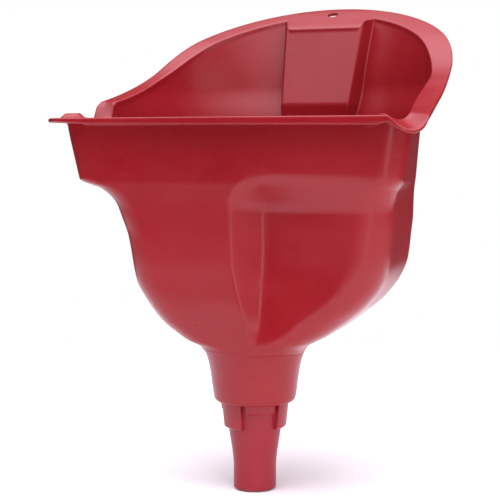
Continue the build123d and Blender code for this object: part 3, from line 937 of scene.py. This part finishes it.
def noise(tree, scale, detail, stretch=(1.0, 1.0, 1.0)):
    """Noise in object coordinates, stretched along the axes. Scales are per metre."""
    place = node(tree, "ShaderNodeTexCoord")
    mapping = node(tree, "ShaderNodeMapping")
    mapping.inputs["Scale"].default_value = stretch
    made = node(tree, "ShaderNodeTexNoise")
    made.inputs["Scale"].default_value = scale
    made.inputs["Detail"].default_value = detail
    tree.links.new(place.outputs["Object"], mapping.inputs["Vector"])
    tree.links.new(mapping.outputs["Vector"], made.inputs["Vector"])
    return made.outputs["Fac"]


def ramp(tree, value, low, high, out_low, out_high):
    """The value, taken from one range to another and kept inside it."""
    made = node(tree, "ShaderNodeMapRange")
    made.inputs["From Min"].default_value = low
    made.inputs["From Max"].default_value = high
    made.inputs["To Min"].default_value = out_low
    made.inputs["To Max"].default_value = out_high
    tree.links.new(value, made.inputs["Value"])
    return made.outputs["Result"]


def math_node(tree, operation, first, second):
    """Two values put together."""
    made = node(tree, "ShaderNodeMath", operation=operation)
    for socket, value in zip(made.inputs, (first, second)):
        if isinstance(value, float):
            socket.default_value = value
        else:
            tree.links.new(value, socket)
    return made.outputs["Value"]


def mix(tree, share, first, second):
    """A colour between two others. Each is a colour or an output."""
    made = node(tree, "ShaderNodeMix", data_type="RGBA")
    tree.links.new(share, made.inputs["Factor"])
    for socket, value in ((made.inputs[6], first), (made.inputs[7], second)):
        if isinstance(value, tuple):
            socket.default_value = value
        else:
            tree.links.new(value, socket)
    return made.outputs[2]


def bumps(tree, heights):
    """Bumps laid over each other; each is an output, a strength and a depth in metres."""
    normal = None
    for value, strength, distance in heights:
        made = node(tree, "ShaderNodeBump")
        made.inputs["Strength"].default_value = strength
        made.inputs["Distance"].default_value = distance
        tree.links.new(value, made.inputs["Height"])
        if normal is not None:
            tree.links.new(normal, made.inputs["Normal"])
        normal = made.outputs["Normal"]
    return normal


def painted_edge_highlight(tree, low, high):
    """Painted highlight: 1 along the sharp outer edges, broken up so that it is uneven."""
    pointed = node(tree, "ShaderNodeNewGeometry").outputs["Pointiness"]
    edge = ramp(tree, pointed, low, high, 0.0, 1.0)
    broken = ramp(tree, noise(tree, 160.0, 4.0), 0.38, 0.62, 0.25, 1.0)
    return math_node(tree, "MULTIPLY", edge, broken)


def plastic(name, colours, roughness, specular):
    """Moulded plastic: uneven pigment, fine moulded grain, slight waviness, scuffs, and outer edges painted
    paler as a highlight.
    """
    material = bpy.data.materials.new(name)
    material.use_nodes = True
    tree = material.node_tree
    shader = tree.nodes["Principled BSDF"]
    deep, bright, wear_and_highlight_colour = colours
    clouds = ramp(tree, noise(tree, 14.0, 3.0), 0.3, 0.7, 0.0, 0.7)
    specks = ramp(tree, noise(tree, 420.0, 2.0), 0.35, 0.65, 0.0, 0.3)
    pigment = math_node(tree, "ADD", clouds, specks)
    colour = mix(tree, pigment, deep, bright)
    streaks = ramp(tree, noise(tree, 60.0, 5.0, (1.0, 1.0, 9.0)), 0.62, 0.74, 0.0, 1.0)
    patches = ramp(tree, noise(tree, 22.0, 2.0), 0.52, 0.66, 0.0, 1.0)
    scuffs = math_node(tree, "MULTIPLY", streaks, patches)
    # Outer edges are painted paler here as a painted highlight; the scuffs mixed in below are real wear.
    edge_highlight = math_node(tree, "MULTIPLY", painted_edge_highlight(tree, 0.53, 0.62), 0.4)
    scuff_wear_and_edge_highlight = math_node(tree, "MAXIMUM", edge_highlight, math_node(tree, "MULTIPLY", scuffs, 0.12))
    tree.links.new(mix(tree, scuff_wear_and_edge_highlight, colour, wear_and_highlight_colour), shader.inputs["Base Color"])
    gloss = ramp(tree, noise(tree, 45.0, 3.0), 0.3, 0.7, roughness - 0.04, roughness + 0.05)
    gloss = math_node(tree, "ADD", gloss, math_node(tree, "MULTIPLY", scuffs, 0.15))
    tree.links.new(gloss, shader.inputs["Roughness"])
    shader.inputs["Specular IOR Level"].default_value = specular
    heights = [(noise(tree, 55.0, 1.0), 0.18, 0.0012), (noise(tree, 1900.0, 2.0), 0.14, 0.00012)]
    tree.links.new(bumps(tree, heights), shader.inputs["Normal"])
    return material


def steel(name):
    """Stainless wire: drawn streaks, uneven gloss and slight stains."""
    material = bpy.data.materials.new(name)
    material.use_nodes = True
    tree = material.node_tree
    shader = tree.nodes["Principled BSDF"]
    shader.inputs["Metallic"].default_value = 1.0
    stain = ramp(tree, noise(tree, 260.0, 4.0), 0.4, 0.7, 0.0, 1.0)
    tree.links.new(mix(tree, stain, *STEEL_COLOURS), shader.inputs["Base Color"])
    gloss = ramp(tree, noise(tree, 900.0, 3.0), 0.3, 0.7, 0.24, 0.42)
    tree.links.new(gloss, shader.inputs["Roughness"])
    drawn = noise(tree, 2600.0, 2.0, (0.2, 1.0, 1.0))
    tree.links.new(bumps(tree, [(drawn, 0.15, 0.00005)]), shader.inputs["Normal"])
    return material


def finish_piece(piece, material, cad_node, body):
    """Gives a piece its material and body, and hides its CAD node. The CAD node gets the material too."""
    piece.data.materials.clear()
    piece.data.materials.append(material)
    for item in piece.data.polygons:
        item.material_index = 0
    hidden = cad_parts[cad_node]
    hidden.data.materials.clear()
    hidden.data.materials.append(material)
    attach(piece, body)
    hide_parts(cad_node)


def camera():
    """The camera: to the front right, a little below the front rim, tilted slightly down."""
    azimuth = math.radians(CAMERA_AZIMUTH)
    data = bpy.data.cameras.new("camera")
    data.sensor_width = CAMERA_SENSOR
    data.lens = CAMERA_LENS
    data.shift_x = CAMERA_SHIFT
    item = bpy.data.objects.new("camera", data)
    across = CAMERA_DISTANCE * math.sin(azimuth)
    item.location = (across, -CAMERA_DISTANCE * math.cos(azimuth), CAMERA_HEIGHT)
    item.rotation_euler = (math.radians(90.0 - CAMERA_TILT), 0.0, azimuth)
    bpy.context.scene.collection.objects.link(item)
    bpy.context.scene.camera = item


def studio():
    """A sky that is bright only high up, a side softbox, a front strip, a white surround and the floor."""
    world = bpy.data.worlds.new("studio")
    world.use_nodes = True
    tree = world.node_tree
    light = tree.nodes["Background"]
    facing = node(tree, "ShaderNodeVectorMath", operation="DOT_PRODUCT")
    facing.inputs[1].default_value = SKY_LEAN
    tree.links.new(node(tree, "ShaderNodeTexCoord").outputs["Generated"], facing.inputs[0])
    glow = ramp(tree, facing.outputs["Value"], SKY_EDGE[0], SKY_EDGE[1], SKY_DIM, SKY_BRIGHT)
    tree.links.new(glow, light.inputs["Strength"])
    light.inputs["Color"].default_value = SKY_TINT
    surround = node(tree, "ShaderNodeBackground")
    surround.inputs["Color"].default_value = (1.0, 1.0, 1.0, 1.0)
    surround.inputs["Strength"].default_value = 1.0
    choose = node(tree, "ShaderNodeMixShader")
    tree.links.new(node(tree, "ShaderNodeLightPath").outputs["Is Camera Ray"], choose.inputs["Fac"])
    tree.links.new(light.outputs["Background"], choose.inputs[1])
    tree.links.new(surround.outputs["Background"], choose.inputs[2])
    tree.links.new(choose.outputs["Shader"], tree.nodes["World Output"].inputs["Surface"])
    bpy.context.scene.world = world
    bpy.context.scene.view_settings.view_transform = "Standard"
    softbox("side_softbox", SIDE_PLACE, SIDE_TARGET, SIDE_SIZE, SIDE_POWER)
    swing = math.radians(STRIP_AZIMUTH)
    place = (STRIP_DISTANCE * math.sin(swing), -STRIP_DISTANCE * math.cos(swing), STRIP_HEIGHT)
    softbox("front_strip", place, STRIP_TARGET, STRIP_SIZE, STRIP_POWER)
    floor()


def softbox(name, place, target, size, power):
    """A soft rectangular light aimed at a point."""
    data = bpy.data.lights.new(name, "AREA")
    data.energy = power
    data.shape = "RECTANGLE"
    data.size = size[0]
    data.size_y = size[1]
    item = bpy.data.objects.new(name, data)
    item.location = place
    item.rotation_euler = (Vector(target) - Vector(place)).to_track_quat("-Z", "Y").to_euler()
    bpy.context.scene.collection.objects.link(item)


def floor():
    """A plain pale round floor, just under the spout's tip."""
    mesh = bpy.data.meshes.new("floor")
    turn = np.linspace(0.0, 2.0 * math.pi, 128, endpoint=False)
    rim = [(FLOOR_RADIUS * math.cos(a), FLOOR_RADIUS * math.sin(a), FLOOR_Z) for a in turn]
    mesh.from_pydata(rim, [], [tuple(range(len(rim)))])
    item = bpy.data.objects.new("floor", mesh)
    bpy.context.scene.collection.objects.link(item)
    material = bpy.data.materials.new("floor_pale")
    material.use_nodes = True
    shader = material.node_tree.nodes["Principled BSDF"]
    shader.inputs["Base Color"].default_value = FLOOR_PALE
    shader.inputs["Roughness"].default_value = 0.9
    shader.inputs["Specular IOR Level"].default_value = 0.1
    item.data.materials.append(material)


red = plastic("red_plastic", RED_COLOURS, 0.31, 0.36)
spout_red = plastic("spout_red", SPOUT_COLOURS, 0.34, 0.36)
black = plastic("black_plastic", BLACK_COLOURS, 0.45, 0.5)
finish_piece(bowl(), red, "bowl", "funnel")
finish_piece(spout(), spout_red, "spout", "funnel")
finish_piece(strainer_ring(), black, "strainer_frame", "strainer")
finish_piece(woven_screen(), steel("screen_steel"), "strainer_mesh", "strainer")
camera()
studio()
